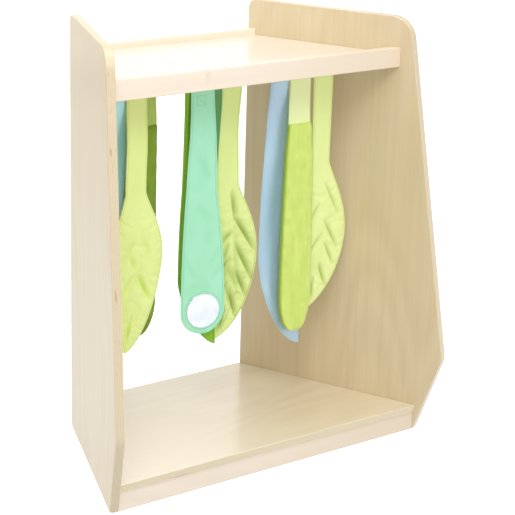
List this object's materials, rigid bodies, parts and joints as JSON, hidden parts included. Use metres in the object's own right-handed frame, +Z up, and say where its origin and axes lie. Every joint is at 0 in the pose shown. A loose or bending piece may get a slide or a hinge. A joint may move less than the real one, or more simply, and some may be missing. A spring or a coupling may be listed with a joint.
{
  "type": "trapezoid storage cabinet",
  "caption": "Open children's cabinet, trapezoid in plan, with splayed plywood sides, a top tray, a bottom board and fabric strips hanging from a round rail.",
  "frame": {"origin": "on the floor, under the middle of the cabinet's box", "axes": "+X to the right seen from the front, +Y to the rear, +Z up"},
  "size_m": [0.835, 0.4778, 0.9],
  "materials": {
    "birch_plywood": "clear satin lacquer over birch plywood, layered edges",
    "solid_birch": "clear satin lacquer over solid birch",
    "dowel_wood": "bare turned beech",
    "glide_plastic": "matt grey-green",
    "zinc_fittings": "zinc plated",
    "lime_cloth": "quilted cotton, pale lime",
    "plush_cloth": "short plush pile, lime to olive",
    "blue_cloth": "smooth cloth, pale blue",
    "dark_green_cloth": "smooth cloth, mid green",
    "mint_cloth": "smooth cloth, mint",
    "mirror_acrylic": "safety mirror",
    "webbing": "woven strap, pale lime"
  },
  "bodies": {
    "cabinet": {"left_side_panel": "birch_plywood", "right_side_panel": "birch_plywood", "top_board": "birch_plywood", "bottom_board": "birch_plywood", "front_rail": "solid_birch", "rear_rail": "solid_birch", "front_plinth": "solid_birch", "rear_plinth": "solid_birch", "hanging_rail": "dowel_wood", "glide_left_rear": "glide_plastic", "glide_left_front": "glide_plastic", "glide_right_rear": "glide_plastic", "glide_right_front": "glide_plastic", "front_rail_dowel_left_upper": "dowel_wood", "front_rail_dowel_left_lower": "dowel_wood", "rear_rail_dowel_left_upper": "dowel_wood", "rear_rail_dowel_left_lower": "dowel_wood", "front_plinth_dowel_left": "dowel_wood", "rear_plinth_dowel_left": "dowel_wood", "front_rail_dowel_right_upper": "dowel_wood", "front_rail_dowel_right_lower": "dowel_wood", "rear_rail_dowel_right_upper": "dowel_wood", "rear_rail_dowel_right_lower": "dowel_wood", "front_plinth_dowel_right": "dowel_wood", "rear_plinth_dowel_right": "dowel_wood", "cam_bolt_top_board_left_rear": "zinc_fittings", "cam_bolt_top_board_left_front": "zinc_fittings", "cam_bolt_bottom_board_left_rear": "zinc_fittings", "cam_bolt_bottom_board_left_front": "zinc_fittings", "cam_bolt_top_board_right_rear": "zinc_fittings", "cam_bolt_top_board_right_front": "zinc_fittings", "cam_bolt_bottom_board_right_rear": "zinc_fittings", "cam_bolt_bottom_board_right_front": "zinc_fittings", "cam_top_board_left_rear": "zinc_fittings", "cam_top_board_left_front": "zinc_fittings", "cam_bottom_board_left_rear": "zinc_fittings", "cam_bottom_board_left_front": "zinc_fittings", "cam_top_board_right_rear": "zinc_fittings", "cam_top_board_right_front": "zinc_fittings", "cam_bottom_board_right_rear": "zinc_fittings", "cam_bottom_board_right_front": "zinc_fittings"},
    "left_bunch": {"left_hanger_loop": "webbing", "left_leaf_strip": "lime_cloth", "left_plush_strap": "webbing", "left_plush_pad": "plush_cloth", "left_blue_strip": "blue_cloth"},
    "middle_bunch": {"middle_hanger_loop": "webbing", "middle_mirror_strip": "mint_cloth", "middle_mirror_disc": "mirror_acrylic", "middle_dark_green_strip": "dark_green_cloth", "middle_leaf_strip": "lime_cloth"},
    "right_bunch": {"right_hanger_loop": "webbing", "right_plush_strap": "webbing", "right_plush_pad": "plush_cloth", "right_leaf_strip": "lime_cloth", "right_blue_strip": "blue_cloth"}
  },
  "joints": [
    {"name": "left_bunch_swing", "type": "hinge", "parent": "cabinet", "child": "left_bunch", "pos_m": [-0.2432, -0.01957, 0.791], "axis": [1, 0, 0], "range_deg": [-75, 2]},
    {"name": "middle_bunch_swing", "type": "hinge", "parent": "cabinet", "child": "middle_bunch", "pos_m": [-0.0534, -0.01957, 0.791], "axis": [1, 0, 0], "range_deg": [-75, 75]},
    {"name": "right_bunch_swing", "type": "hinge", "parent": "cabinet", "child": "right_bunch", "pos_m": [0.1709, -0.01957, 0.791], "axis": [1, 0, 0], "range_deg": [-75, 2]}
  ]
}
